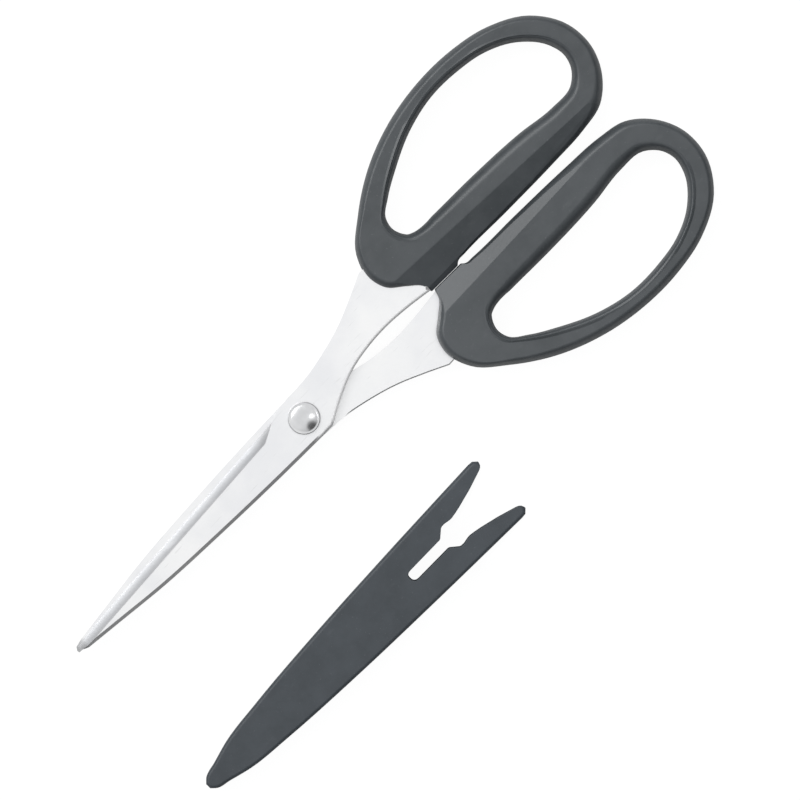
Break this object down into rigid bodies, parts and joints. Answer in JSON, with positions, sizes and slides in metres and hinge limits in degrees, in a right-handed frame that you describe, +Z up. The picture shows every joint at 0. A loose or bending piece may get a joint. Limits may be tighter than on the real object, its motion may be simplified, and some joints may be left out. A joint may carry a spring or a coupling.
{
  "type": "craft scissors with blade sheath",
  "caption": "Slim pointed craft scissors with moulded closed finger bows, blades turning on a domed rivet, and a separate clip-on blade sheath lying alongside.",
  "frame": {"origin": "on the pivot axis, on the flat underside of the rivet's tail, which is the table plane", "axes": "+X along the closed scissors from the pivot towards the finger bows, +Y towards the thumb handle and away from the sheath, +Z up along the pivot axis"},
  "size_m": [0.1667, 0.0787, 0.0077],
  "materials": {
    "blade_steel": "fine satin grind, brighter bevels",
    "rivet_steel": "polished dome",
    "handle_plastic": "satin moulded",
    "sheath_plastic": "matte moulded"
  },
  "bodies": {
    "pivot": {"pivot_rivet": "rivet_steel"},
    "upper_half": {"upper_blade": "blade_steel", "upper_handle": "handle_plastic"},
    "lower_half": {"lower_blade": "blade_steel", "lower_handle": "handle_plastic"},
    "sheath": {"blade_sheath": "sheath_plastic"}
  },
  "joints": [
    {"name": "upper_turn", "type": "hinge", "parent": "pivot", "child": "upper_half", "pos_m": [0, 0, 0.004], "axis": [0, 0, 1], "range_deg": [0, 28]},
    {"name": "lower_turn", "type": "hinge", "parent": "pivot", "child": "lower_half", "pos_m": [0, 0, 0.004], "axis": [0, 0, 1], "range_deg": [-28, 0]},
    {"name": "sheath_slide", "type": "slide", "parent": "pivot", "child": "sheath", "axis": [-1, 0, 0], "range_m": [0, 0.09]}
  ],
  "couplings": [
    {"joint": "lower_turn", "follows": "upper_turn", "ratio": -1}
  ]
}
